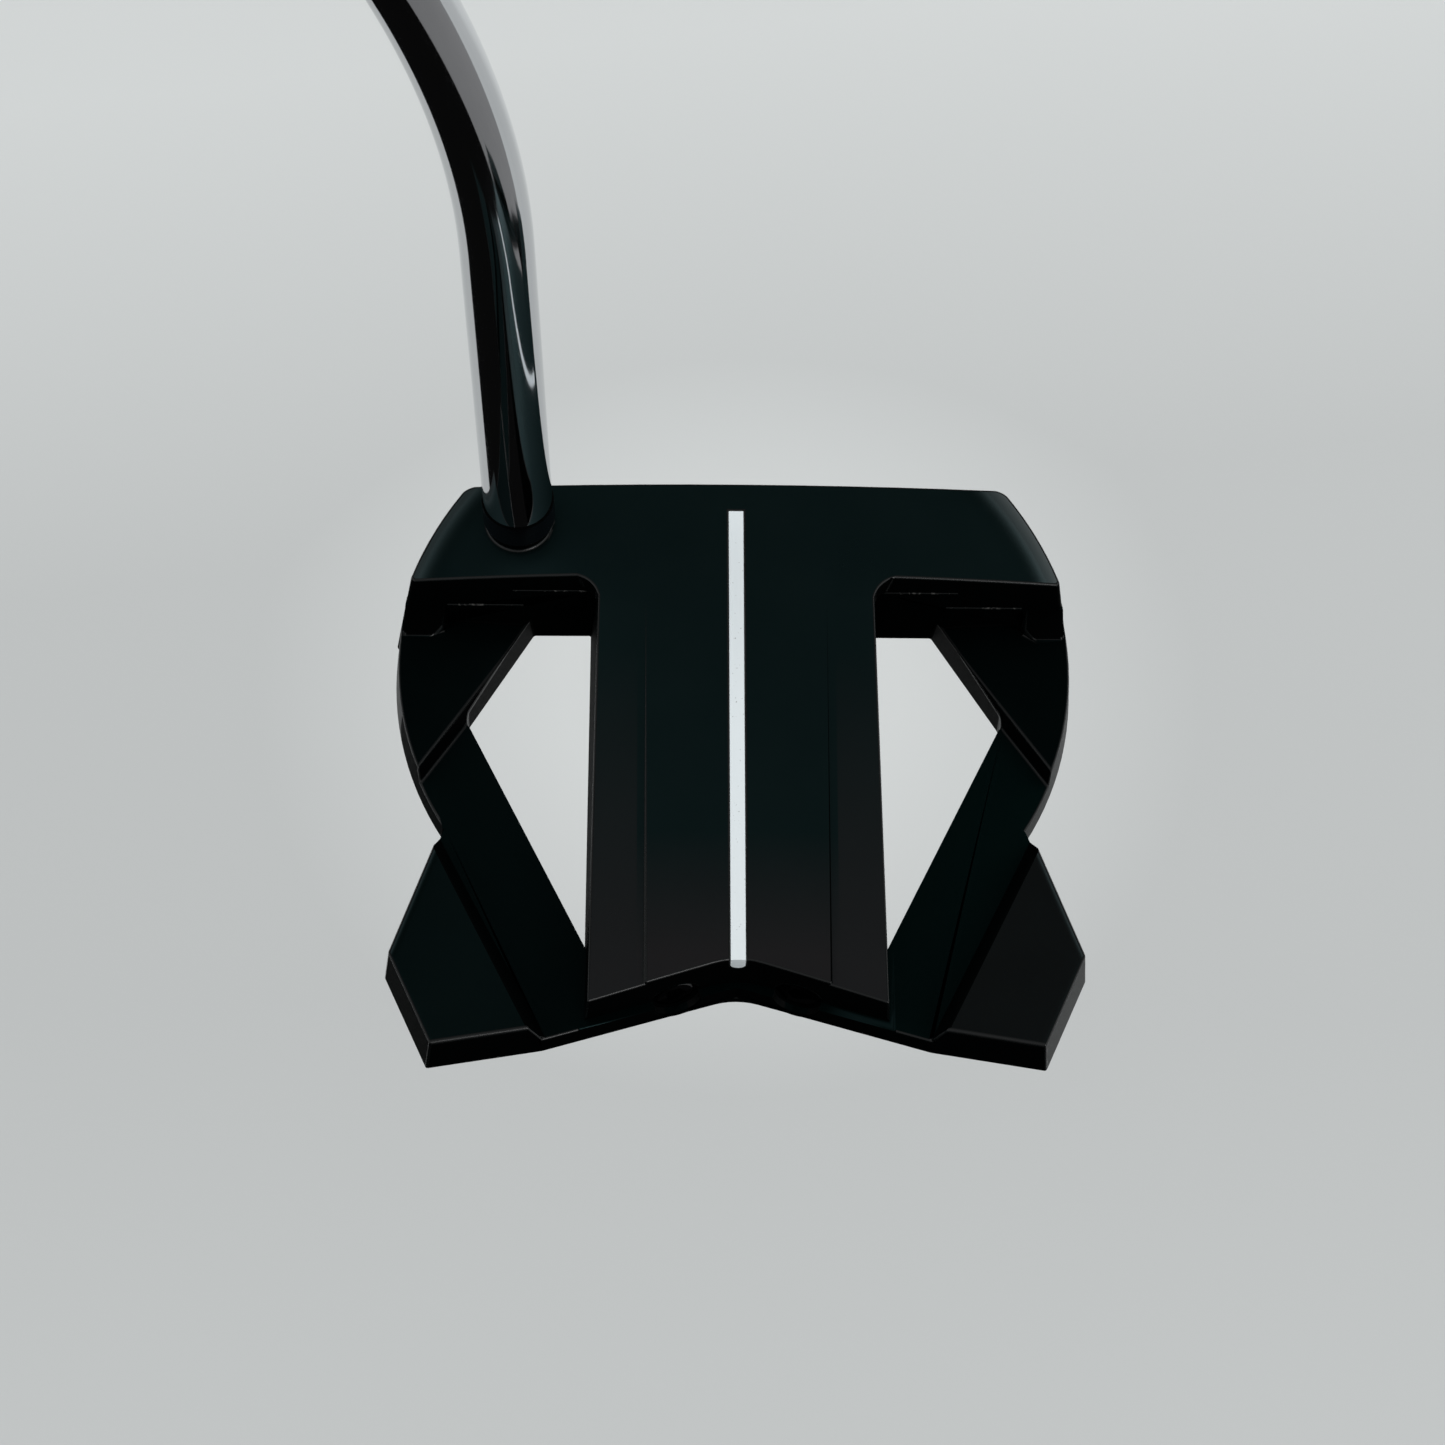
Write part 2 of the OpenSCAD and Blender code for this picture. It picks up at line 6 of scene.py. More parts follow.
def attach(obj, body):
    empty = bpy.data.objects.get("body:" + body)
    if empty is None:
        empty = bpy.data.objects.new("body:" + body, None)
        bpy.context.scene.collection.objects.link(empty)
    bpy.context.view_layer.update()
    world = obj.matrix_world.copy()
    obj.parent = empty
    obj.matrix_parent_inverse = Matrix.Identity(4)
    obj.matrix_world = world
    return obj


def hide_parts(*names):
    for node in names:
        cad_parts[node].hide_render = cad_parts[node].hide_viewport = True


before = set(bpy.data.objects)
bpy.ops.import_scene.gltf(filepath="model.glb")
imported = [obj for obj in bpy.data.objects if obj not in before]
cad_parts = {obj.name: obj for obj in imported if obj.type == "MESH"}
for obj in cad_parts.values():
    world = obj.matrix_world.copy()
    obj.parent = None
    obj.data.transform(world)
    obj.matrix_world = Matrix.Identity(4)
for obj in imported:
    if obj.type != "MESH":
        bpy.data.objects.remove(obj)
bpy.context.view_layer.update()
print("frame loaded:", len(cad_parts), "nodes")

mm = 0.001


# small helpers for modelling

def deselectAll():
    if bpy.context.object and bpy.context.object.mode != "OBJECT":
        bpy.ops.object.mode_set(mode="OBJECT")
    bpy.ops.object.select_all(action="DESELECT")


def makeActive(obj):
    deselectAll()
    obj.select_set(True)
    bpy.context.view_layer.objects.active = obj


def editAll(obj):
    makeActive(obj)
    bpy.ops.object.mode_set(mode="EDIT")
    bpy.ops.mesh.select_all(action="SELECT")


def objectMode():
    bpy.ops.object.mode_set(mode="OBJECT")


def addModifier(obj, kind, **settings):
    makeActive(obj)
    mod = obj.modifiers.new(kind.title(), kind)
    for key, value in settings.items():
        setattr(mod, key, value)
    bpy.ops.object.modifier_apply(modifier=mod.name)


def mergedCopy(node, name, weld=0.00002, flat=0.4):
    # a closed copy of a CAD node, with its flat faces joined up again
    deselectAll()
    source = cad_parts[node]
    source.select_set(True)
    bpy.context.view_layer.objects.active = source
    bpy.ops.object.duplicate()
    copy = bpy.context.object
    copy.name = copy.data.name = name
    copy.data.materials.clear()
    editAll(copy)
    bpy.ops.mesh.customdata_custom_splitnormals_clear()
    bpy.ops.mesh.remove_doubles(threshold=weld)
    bpy.ops.mesh.dissolve_limited(angle_limit=math.radians(flat), delimit=set())
    objectMode()
    return copy


def smoothByAngle(obj, degrees=35, weighted=True):
    makeActive(obj)
    bpy.ops.object.shade_smooth_by_angle(angle=math.radians(degrees))
    if weighted:
        mod = obj.modifiers.new("Normals", "WEIGHTED_NORMAL")
        mod.keep_sharp = True
        mod.weight = 60
        bpy.ops.object.modifier_apply(modifier=mod.name)


def dress(obj, *finishes):
    obj.data.materials.clear()
    for finish in finishes:
        obj.data.materials.append(finish)


# small helpers for materials

class Wire:
    # a socket that can be used in sums; each sign adds a Math node
    def __init__(self, finish, socket):
        self.finish = finish
        self.socket = socket

    def sum(self, operation, first, second):
        return self.finish.add("ShaderNodeMath", {"operation": operation}, {0: first, 1: second})

    def __add__(self, other):
        return self.sum("ADD", self, other)

    def __radd__(self, other):
        return self.sum("ADD", other, self)

    def __sub__(self, other):
        return self.sum("SUBTRACT", self, other)

    def __rsub__(self, other):
        return self.sum("SUBTRACT", other, self)

    def __mul__(self, other):
        return self.sum("MULTIPLY", self, other)

    def __rmul__(self, other):
        return self.sum("MULTIPLY", other, self)

    def __truediv__(self, other):
        return self.sum("DIVIDE", self, other)

    def __gt__(self, other):
        return self.sum("GREATER_THAN", self, other)

    def __lt__(self, other):
        return self.sum("LESS_THAN", self, other)

    def __pow__(self, other):
        return self.sum("POWER", self, other)

    def __abs__(self):
        return self.sum("ABSOLUTE", self, 0.0)

    def least(self, other):
        return self.sum("MINIMUM", self, other)

    def most(self, other):
        return self.sum("MAXIMUM", self, other)

    def root(self):
        return self.sum("SQRT", self.most(0.0), 0.0)


class Finish:
    def __init__(self, name, **constants):
        self.material = bpy.data.materials.new(name)
        self.material.use_nodes = True
        self.tree = self.material.node_tree
        self.shader = self.tree.nodes["Principled BSDF"]
        for key, value in constants.items():
            self.shader.inputs[key.replace("_", " ")].default_value = value

    def feed(self, socket, value):
        if isinstance(value, Wire):
            self.tree.links.new(value.socket, socket)
        else:
            socket.default_value = value

    def add(self, kind, settings=None, inputs=None, out=0):
        node = self.tree.nodes.new(kind)
        for key, value in (settings or {}).items():
            setattr(node, key, value)
        for key, value in (inputs or {}).items():
            self.feed(node.inputs[key], value)
        return Wire(self, node.outputs[out])

    def here(self):
        return self.add("ShaderNodeTexCoord", out="Object")

    def place(self, scale=(1, 1, 1), turn=(0, 0, 0)):
        return self.add("ShaderNodeMapping", {}, {"Vector": self.here(), "Scale": scale, "Rotation": turn})

    def axes(self, where):
        parts = self.tree.nodes.new("ShaderNodeSeparateXYZ")
        self.feed(parts.inputs[0], where)
        return [Wire(self, parts.outputs[i]) for i in range(3)]

    def noise(self, where, scale, detail=4, rough=0.5):
        inputs = {"Vector": where, "Scale": scale, "Detail": detail, "Roughness": rough}
        return self.add("ShaderNodeTexNoise", {}, inputs)

    def remap(self, value, low, high, to0=0, to1=1):
        inputs = {"Value": value, "From Min": low, "From Max": high, "To Min": to0, "To Max": to1}
        return self.add("ShaderNodeMapRange", {"clamp": True}, inputs)

    def mix(self, factor, first, second):
        node = self.tree.nodes.new("ShaderNodeMix")
        node.data_type = "RGBA"
        self.feed(node.inputs["Factor"], factor)
        for socket, value in ((node.inputs[6], first), (node.inputs[7], second)):
            self.feed(socket, value if isinstance(value, Wire) else (*value, 1))
        return Wire(self, node.outputs[2])

    def bump(self, height, depth, strength=1.0, under=None):
        inputs = {"Height": height, "Distance": depth, "Strength": strength}
        if under:
            inputs["Normal"] = under
        return self.add("ShaderNodeBump", {}, inputs)

    def set(self, **sockets):
        for key, value in sockets.items():
            self.feed(self.shader.inputs[key.replace("_", " ")], value)


# the photo's viewpoint, in millimetres
cameraPlace = {
    "location": (-20.452, -323.054, 607.308),
    "right": (0.99960, -0.00728, 0.02717),
    "up": (-0.00636, 0.88241, 0.47044),
    "forward": (0.02740, 0.47043, -0.88201),
    "lens": 117.47,
    "sensor": 36,
    "clip": (0.01, 50),
}


def addCamera(place):
    data = bpy.data.cameras.new("viewCamera")
    data.lens = place["lens"]
    data.sensor_width = place["sensor"]
    data.clip_start, data.clip_end = place["clip"]
    camera = bpy.data.objects.new("viewCamera", data)
    bpy.context.scene.collection.objects.link(camera)
    right, up, back = (Vector(place[k]).normalized() for k in ("right", "up", "forward"))
    turn = Matrix((right, up, -back)).transposed().to_4x4()
    camera.matrix_world = Matrix.Translation(Vector(place["location"]) * mm) @ turn
    bpy.context.scene.camera = camera


addCamera(cameraPlace)
print("camera set")


# floor and light, in metres
studio = {
    "floorHeight": -0.62,
    "floorSize": 14,
    "floorCuts": 8,
    "floorPale": (0.613, 0.634, 0.630),
    "floorGrey": (0.494, 0.510, 0.508),
    # painted light: the paper is painted paler round a middle, at the far side and close by, where more
    # light falls: from, to and how much
    "middle": (0.02, 0.345), "middleFade": (0.05, 0.14, 1.0, 0.0),
    "farFade": (0.40, 0.58, 0.0, 0.95), "farLean": -0.15,
    "nearFade": (0.24, 0.08, 0.0, 0.4),
    "paintedGlowShare": 0.94, "drift": 0.12,
    "lamps": [
        # place, size, power, aimed at, seen in reflections
        ((1.9, 0.9, 1.3), 1.6, 34, (0, 0, 0), False),
        ((-2.0, 0.7, 1.2), 1.6, 27, (0, 0, 0), False),
        ((0.3, 2.4, 1.6), 2.0, 34, (0, 0.2, -0.3), False),
        ((0.9, -1.9, 1.05), 1.0, 10, (0, 0, 0), True),
    ],
    # dark boards under the camera that only reflections meet: x from, x to, y from, y to, shade
    "boards": [(-2.4, 0.36, -5.0, 0.06, 0.004), (0.36, 2.4, -5.0, 0.06, 0.24)],
    "boardLift": 0.01, "boardWeave": 40,
}

# the light of the room round it: from and to along an axis, and the strength at both
room = {
    "tint": (0.985, 1.0, 1.015, 1),
    # overhead it fades from front to rear, and toward the horizon
    "overhead": (-0.4, 0.47, 0.34, 0.008), "overheadUp": (0.15, 0.6),
    # low down it fades with the height, grows from heel to toe, and is dim straight ahead and behind
    "sides": 0.85, "sideFall": 4.0, "heelToToe": (-1.0, 1.0, 0.75, 1.1), "outward": (0.1, 0.8, 0.10, 1.0),
}


def addFloor(size, height, paintedLight, grey):
    deselectAll()
    bpy.ops.mesh.primitive_grid_add(x_subdivisions=studio["floorCuts"], y_subdivisions=studio["floorCuts"],
                                    size=size, location=(0, 0, height))
    floor = bpy.context.object
    floor.name = "floor"
    bpy.ops.object.transform_apply(location=True, rotation=True, scale=True)
    paper = Finish("paperFloor", Roughness=0.9)
    where = paper.place()
    drift = paper.noise(where, 1.3, 2)
    grain = paper.noise(where, 260, 3)
    x, y, z = paper.axes(where)
    across, along = x - studio["middle"][0], y - studio["middle"][1]
    middle = paper.remap((across * across + along * along).root(), *studio["middleFade"])
    farSide = paper.remap(y + x * studio["farLean"], *studio["farFade"])
    nearSide = paper.remap(y, *studio["nearFade"])
    # painted light: the paper's colour is mixed toward the pale colour in these pools of light, with a
    # little random drift
    paintedGlow = middle.most(farSide).most(nearSide) * studio["paintedGlowShare"]
    paintedGlow = paintedGlow + drift * studio["drift"] - studio["drift"] / 2
    paper.set(Base_Color=paper.mix(paintedGlow, grey, paintedLight),
              Normal=paper.bump(grain, 0.0002, 0.15))
    dress(floor, paper.material)


def addBoard(number, height, x0, x1, y0, y1, shade):
    deselectAll()
    bpy.ops.mesh.primitive_plane_add(size=1, location=((x0 + x1) / 2, (y0 + y1) / 2, height))
    board = bpy.context.object
    board.name = "board%d" % number
    bpy.ops.transform.resize(value=(x1 - x0, y1 - y0, 1), center_override=board.location)
    bpy.ops.object.transform_apply(location=True, rotation=True, scale=True)
    felt = Finish("boardFelt%d" % number, Roughness=1.0, Specular_IOR_Level=0.0)
    weave = felt.noise(felt.place(), studio["boardWeave"], 3)
    felt.set(Base_Color=felt.mix(weave, [shade * 0.9] * 3, [shade * 1.1] * 3))
    dress(board, felt.material)
    board.visible_camera = board.visible_diffuse = board.visible_shadow = False


def addLamp(number, place, size, power, aim, mirrored):
    light = bpy.data.lights.new("softLamp%d" % number, "AREA")
    light.shape = "DISK"
    light.size = size
    light.energy = power
    lamp = bpy.data.objects.new(light.name, light)
    lamp.location = place
    lamp.rotation_euler = (Vector(aim) - Vector(place)).to_track_quat("-Z", "Y").to_euler()
    lamp.visible_glossy = mirrored
    bpy.context.scene.collection.objects.link(lamp)


class Room(Finish):
    # the same node helpers on the world
    def __init__(self, name):
        self.material = bpy.data.worlds.new(name)
        self.material.use_nodes = True
        bpy.context.scene.world = self.material
        self.tree = self.material.node_tree
        self.shader = self.tree.nodes["Background"]


def addWorld():
    # dim overhead, brighter behind the camera and low at both sides
    world = Room("room")
    x, y, z = world.axes(world.add("ShaderNodeTexCoord", out="Generated"))
    up = z.most(0.0)
    roof = world.remap(y, *room["overhead"]) * world.remap(up, *room["overheadUp"])
    low = (1.0 - up * up).most(0.0) ** room["sideFall"]
    rim = low * (world.remap(x, *room["heelToToe"]) * world.remap(abs(x), *room["outward"])) * room["sides"]
    world.set(Color=room["tint"], Strength=roof + rim)


addFloor(studio["floorSize"], studio["floorHeight"], studio["floorPale"], studio["floorGrey"])
addWorld()
for number, board in enumerate(studio["boards"]):
    addBoard(number, studio["floorHeight"] + studio["boardLift"], *board)
for number, lamp in enumerate(studio["lamps"]):
    addLamp(number, *lamp)
bpy.context.scene.view_settings.view_transform = "Standard"
print("floor and light set")


# finishes

def rollOff(coat, gap, reach, steep):
    # height of a soft roll beside an edge, from the distance to the edge; it steepens toward the edge
    near = coat.remap(gap / reach, 0.0, 1.0, 1.0, 0.0)
    return (near ** 4.0) * (steep * (reach * -0.25))


def lineGap(coat, x, y, start, end):
    # distance inside the line from start to end, seen from above
    run = Vector((end[0] - start[0], end[1] - start[1])).normalized()
    return ((x - start[0] * mm) * run.y - (y - start[1] * mm) * run.x) * -1.0


# where the satin coat changes, in millimetres on the head
satin = {
    # the deck ends on circles about this point, drawn in with the height
    "deckCentre": (1.25, -0.78), "deckRadius": 50.0, "deckLean": 0.0998, "deckHeight": 13,
    # the last two set the painted highlight at the very ends of the deck: how far it reaches, and its share
    # from heel to toe
    "deckReach": 7.0, "deckSteep": (1.1, 1.7), "paintedHighlightReach": 6.0, "paintedLight": (0.12, 0.7),
    # outer edges of the wings, front and rear
    "wingFront": ((49.0, -40.4), (41.3, -18.9)), "wingRear": ((42.9, -54.4), (49.0, -40.4)),
    "wingHeight": (7.5, 9.5), "wingReach": 1.8, "wingSteep": 1.6, "rearInset": 0.5,
    # dust on the spine and beside its creases: from, to and how much; less of it on the toe wing
    "flank": 14.2, "spineDust": (-24, -42, 0, 1), "flankDust": (4, -44, 0.0, 0.9),
    "dustHeight": 9, "dustSide": 21, "wingDust": 0.3,
    # the low channels, where the coat has more colour
    "channelHeight": 5, "channelSpan": (-20, 40, 0.3, 0.9),
    "channelColour": (0.0004, 0.0030, 0.0028),
    "dustColour": (0.0092, 0.0062, 0.0064),
    # the colour of the painted highlight at the deck's ends
    "paintedHighlightColour": (0.10, 0.105, 0.105),
}


def spread(coat, value, span):
    # remap with its first two numbers in millimetres
    start, end, low, high = span
    return coat.remap(value, start * mm, end * mm, low, high)


def satinRolls(coat, side, x, y, endGap, onDeck, onWing):
    # soft rolls: deck to block ends, and the outer edges of the wings
    steep = spread(coat, x, (-1, 1, *satin["deckSteep"]))
    deckRoll = rollOff(coat, endGap, satin["deckReach"] * mm, steep) * onDeck
    frontGap = lineGap(coat, side, y, *satin["wingFront"])
    rearGap = lineGap(coat, side, y, *satin["wingRear"]) + satin["rearInset"] * mm
    wingRoll = rollOff(coat, frontGap.least(rearGap), satin["wingReach"] * mm, satin["wingSteep"]) * onWing
    return deckRoll + wingRoll


def satinDust(coat, side, x, y, z, onWing):
    # greyer and dustier at the rear of the spine, sooner beside the creases, and on the toe wing
    flank = side > satin["flank"] * mm
    dust = spread(coat, y, satin["spineDust"]) * (1.0 - flank) + spread(coat, y, satin["flankDust"]) * flank
    dust = dust * (z > satin["dustHeight"] * mm) * (side < satin["dustSide"] * mm)
    return dust + onWing * (x > 0.0) * satin["wingDust"]


def satinBlackFinish(name, level, dark, light):
    coat = Finish(name, IOR=1.5, Specular_IOR_Level=level, Specular_Tint=(0.5, 0.95, 1.0, 1))
    where = coat.place()
    cloud = coat.noise(where, 90, 3)
    grain = coat.noise(where, 5200, 3, 0.6)
    tool = coat.noise(coat.place((14, 900, 14)), 1, 2)
    x, y, z = coat.axes(coat.here())
    side = abs(x)
    across, along = side - satin["deckCentre"][0] * mm, y - satin["deckCentre"][1] * mm
    radius = satin["deckRadius"] * mm - z * satin["deckLean"]
    endGap = radius - (across * across + along * along).root()
    onDeck = z > satin["deckHeight"] * mm
    onWing = (z > satin["wingHeight"][0] * mm) * (z < satin["wingHeight"][1] * mm)
    rolls = satinRolls(coat, side, x, y, endGap, onDeck, onWing)
    dust = satinDust(coat, side, x, y, z, onWing)
    inChannel = (z < satin["channelHeight"] * mm) * spread(coat, x, satin["channelSpan"])
    coloured = coat.mix(inChannel, coat.mix(cloud, dark, light), satin["channelColour"])
    # painted highlight: the ends of the deck are painted pale at the very edge, more on the toe side than
    # on the heel side
    atEdge = spread(coat, endGap, (0.0, satin["paintedHighlightReach"], 1.0, 0.0)) ** 5.0
    paintedLight = atEdge * spread(coat, x, (-1, 1, *satin["paintedLight"])) * onDeck
    dusty = coat.mix(dust, coloured, satin["dustColour"])
    fine = coat.bump(grain, 0.00001, 0.25, coat.bump(rolls, 1.0))
    coat.set(Base_Color=coat.mix(paintedLight, dusty, satin["paintedHighlightColour"]),
             Roughness=coat.remap(cloud * 0.7 + grain * 0.3, 0.3, 0.7, 0.27, 0.34),
             Normal=coat.bump(tool, 0.00002, 0.1, fine))
    return coat.material


def blastedBlackFinish():
    coat = Finish("blastedBlack", IOR=1.5, Specular_IOR_Level=0.25)
    where = coat.place()
    cloud = coat.noise(where, 120, 3)
    grain = coat.noise(where, 3800, 4, 0.65)
    coat.set(Base_Color=coat.mix(cloud, (0.0004, 0.0008, 0.0008), (0.0009, 0.0014, 0.0014)),
             Roughness=coat.remap(grain, 0.3, 0.7, 0.42, 0.52),
             Normal=coat.bump(grain, 0.00002, 0.3))
    return coat.material


def dullShadeFinish(name, ior):
    # painted shade: a darker, duller copy of the coat, for steep walls and for edges that are kept dark
    coat = Finish(name, IOR=ior)
    where = coat.place()
    cloud = coat.noise(where, 140, 3)
    grain = coat.noise(where, 3200, 4, 0.65)
    coat.set(Base_Color=coat.mix(cloud, (0.0003, 0.0006, 0.0006), (0.0007, 0.0010, 0.0010)),
             Roughness=coat.remap(grain, 0.3, 0.7, 0.55, 0.68),
             Normal=coat.bump(grain, 0.00003, 0.3))
    return coat.material


def rubbedEdgeFinish(name, wear):
    # the coat polished on the edges, worn through in a few places
    coat = Finish(name, IOR=1.5)
    where = coat.place()
    rub = coat.noise(where, 260, 5, 0.65)
    speck = coat.noise(where, 1900, 3, 0.7)
    bare = coat.remap(rub * 0.6 + speck * 0.4, wear, wear + 0.08)
    coat.set(Base_Color=coat.mix(bare, (0.0016, 0.0024, 0.0024), (0.22, 0.215, 0.205)),
             Metallic=bare * 0.8,
             Roughness=coat.remap(rub, 0.3, 0.7, 0.22, 0.32),
             Normal=coat.bump(speck, 0.00001, 0.2))
    return coat.material


def whitePaintFinish():
    paint = Finish("whitePaint", IOR=1.5)
    where = paint.place()
    cloud = paint.noise(where, 420, 4)
    pit = paint.noise(where, 2600, 2)
    dirt = paint.remap(pit, 0.70, 0.76)
    paint.set(Base_Color=paint.mix(dirt, (0.76, 0.82, 0.84), (0.36, 0.38, 0.38)),
              Roughness=paint.remap(cloud, 0.3, 0.7, 0.3, 0.45),
              Normal=paint.bump(cloud, 0.00005, 0.4))
    return paint.material


def chromeFinish():
    chrome = Finish("polishedChrome")
    draw = chrome.noise(chrome.place((1, 1, 0.04)), 900, 3, 0.6)
    haze = chrome.noise(chrome.place(), 60, 4)
    scratch = chrome.noise(chrome.place((1, 1, 0.02), (0.5, 0.2, 0)), 2600, 2, 0.7)
    rough = chrome.remap(haze * 0.6 + draw * 0.4, 0.3, 0.7, 0.045, 0.09)
    chrome.set(Base_Color=chrome.mix(haze, (0.60, 0.61, 0.63), (0.66, 0.67, 0.69)),
               Metallic=1.0,
               Roughness=rough + chrome.remap(scratch, 0.66, 0.72) * 0.08,
               Normal=chrome.bump(draw, 0.00001, 0.06))
    return chrome.material


def plainFinish(name, dark, light, rough, scale, depth, ior=1.5):
    # a plain stock finish with its own grain, for the small and hidden pieces
    stock = Finish(name, IOR=ior)
    where = stock.place()
    cloud = stock.noise(where, scale, 4)
    grain = stock.noise(where, scale * 14, 3, 0.6)
    stock.set(Base_Color=stock.mix(cloud, dark, light),
              Roughness=stock.remap(cloud * 0.5 + grain * 0.5, 0.3, 0.7, rough - 0.06, rough + 0.06),
              Normal=stock.bump(grain, depth, 0.4))
    return stock.material


satinBlack = satinBlackFinish("satinBlack", 0.5, (0.0006, 0.0024, 0.0024), (0.0012, 0.0030, 0.0029))
# painted shade: a darker, less glossy copy of the satin coat for the tops of the wings
wingShadeBlack = satinBlackFinish("wingShadeBlack", 0.36, (0.0004, 0.0015, 0.0014), (0.0008, 0.0021, 0.0020))
# painted shade: a still darker, duller copy of the satin coat for the low floors that face up
shadeBlack = satinBlackFinish("shadeBlack", 0.2, (0.0002, 0.0008, 0.0008), (0.0004, 0.0013, 0.0012))
blastedBlack = blastedBlackFinish()
# painted shade: the dull dark coat for the walls and for the edges kept dark
dullShadeBlack = dullShadeFinish("dullShadeBlack", 1.06)
# painted shade: the dull dark coat, a little glossier, for the slanted walls of the windows low down
windowShadeBlack = dullShadeFinish("windowShadeBlack", 1.15)
rubbedEdge = rubbedEdgeFinish("rubbedEdge", 0.66)
# wear and painted highlight: more of this coat is worn through to pale bare metal, and it goes on the top
# ledges of the wall pads to light them
wornHighlightEdge = rubbedEdgeFinish("wornHighlightEdge", 0.54)
whitePaint = whitePaintFinish()
polishedChrome = chromeFinish()
print("finishes made")


# the head, in millimetres; far is past everything on it
far = 99

head = {
    "edgeRound": 0.6, "segments": 3, "smooth": 40,
    # folds sharper than this many degrees get a round, but not those between faces that look up this much
    "sharp": 22, "level": 0.85,
    # corners at the foot of the wall, from and to
    "feet": [((30.69, 12.51, 0), (29.19, 15.0, 0)), ((20.88, 13.13, 0), (20.90, 15.0, 0)),
             ((30.13, 13.44, 6.5), (29.65, 14.24, 6.5))],
    # the pads on the wall, with a small ledge on top: x from, x to, rear face, top, bottom
    "pads": [(19.6, 32.3, 14.28, 14.85, 10), (30.6, 41.8, 13.78, 11.5, 6.6)],
    "padDepth": 2.4, "padRound": 0.2, "padSegments": 2, "padSharp": 30, "padLedge": 0.6,
    # where the bright rear edge of the channels ends, and the part of the rear that is cut there
    "rearEnd": 22.3, "rearFrom": -25, "rearTop": 4.5,
    # a wing rises from its channel along a line: a point on it, and the way outward
    "stepStart": (41.8, -17.5), "stepWay": (0.9006, 0.4348),
}

# which coat a face of the head gets: the first line whose ranges all hold. nx, ny and nz are how much it
# looks along each axis, turn and tilt the same for x and z either way; side is x on both sides alike
# every coat here but satin and blasted is a darker version of the coat, painted shade for those faces
headCoats = [
    ("wing", {"nz": (0.9, 2), "z": (7.2, 9.2), "y": (-far, -15)}),
    ("satin", {"nz": (-2, -0.9)}),
    ("satin", {"nz": (0.55, 2), "z": (7.2, far)}),
    ("shade", {"nz": (0.9, 2), "z": (-far, 7)}),
    ("deep", {"turn": (0.97, 2), "side": (-1, 30)}),
    ("milled", {"turn": (0.5, 0.95), "tilt": (-1, 0.1), "y": (-5, far), "z": (-far, 6.6)}),
    ("deep", {"ny": (-2, -0.5), "y": (-15, far)}),
    ("deep", {"ny": (-2, -0.9), "y": (-far, -15)}),
    ("deep", {"nx": (-2, -0.5), "ny": (-2, -0.2), "x": (-far, -30)}),
    ("deep", {"nz": (0.2, 2), "z": (-far, 9), "y": (-far, -15), "side": (24, far)}),
    ("blasted", {}),
]

# painted shade: rounded edges that get the dull dark coat in place of the rubbed edge coat, so they show no
# highlight: low ones at the rear, the wall, the wing steps, the toe-side crease
paintedShadeEdges = [
    {"y": (-far, -25), "z": (-far, 3.6)},
    {"y": (-far, -25), "z": (-far, 5.2), "side": (-1, 22.3)},
    {"y": (11.5, 15.5), "side": (-1, 42.2), "z": (-far, 16)},
    {"step": (0.5, 4.6), "y": (-49, -18), "z": (-far, 8.7)},
    {"x": (5, 19.4), "y": (-43.5, 14), "z": (9, far)},
]

# share of the full round at each edge, again by the first line that holds: the block's stubs, the starts
# of the creases and of the wing steps, the rear of the wings, the toe-side crease, and the rest
edgeRounds = [
    (0.0, {"side": (46.8, far), "y": (12, 16.5), "z": (-far, 11.2)}),
    (0.0, {"side": (-1, 19.4), "y": (10.5, 14), "z": (9, far)}),
    (0.0, {"step": (-far, 2.6), "y": (-49.5, -18), "z": (3.5, 4.6)}),
    (1.0, {"y": (-far, -50), "z": (8, far)}),
    (0.25, {"x": (5, 19.4), "y": (-43, 14), "z": (9, far)}),
    (0.53, {}),
]


def addBox(name, x0, x1, y0, y1, z0, z1):
    deselectAll()
    middle = ((x0 + x1) / 2 * mm, (y0 + y1) / 2 * mm, (z0 + z1) / 2 * mm)
    bpy.ops.mesh.primitive_cube_add(size=1, location=middle)
    box = bpy.context.object
    box.name = box.data.name = name
    size = ((x1 - x0) * mm, (y1 - y0) * mm, (z1 - z0) * mm)
    bpy.ops.transform.resize(value=size, center_override=box.location)
    bpy.ops.object.transform_apply(location=True, rotation=True, scale=True)
    return box


def standWall(shell):
    # brings the foot of the wall back under the deck, on both sides of the spine
    for place, target in head["feet"]:
        for side in (-1, 1):
            at = Vector((side * place[0], place[1], place[2])) * mm
            foot = min(shell.data.vertices, key=lambda v: (v.co - at).length).index
            editAll(shell)
            bpy.ops.mesh.select_all(action="DESELECT")
            objectMode()
            shell.data.vertices[foot].select = True
            bpy.ops.object.mode_set(mode="EDIT")
            move = (side * (target[0] - place[0]) * mm, (target[1] - place[1]) * mm, 0)
            bpy.ops.transform.translate(value=move)
            objectMode()


def addPads():
    for number, (x0, x1, rear, top, bottom) in enumerate(head["pads"]):
        for side, end in ((-1, "Heel"), (1, "Toe")):
            left, right = sorted((side * x0, side * x1))
            front = rear + head["padDepth"]
            pad = addBox("wallPad%s%d" % (end, number), left, right, rear, front, bottom, top)
            dress(pad, dullShadeBlack, wornHighlightEdge)
            addModifier(pad, "BEVEL", width=head["padRound"] * mm, segments=head["padSegments"],
                        limit_method="ANGLE", angle_limit=math.radians(head["padSharp"]), material=1)
            # painted highlight: only the top ledge of a pad keeps the paler worn coat; the rest gets the
            # dull dark coat
            for face in pad.data.polygons:
                if face.center.z < (top - head["padLedge"]) * mm:
                    face.material_index = 0
            smoothByAngle(pad, head["smooth"])
            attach(pad, "club")


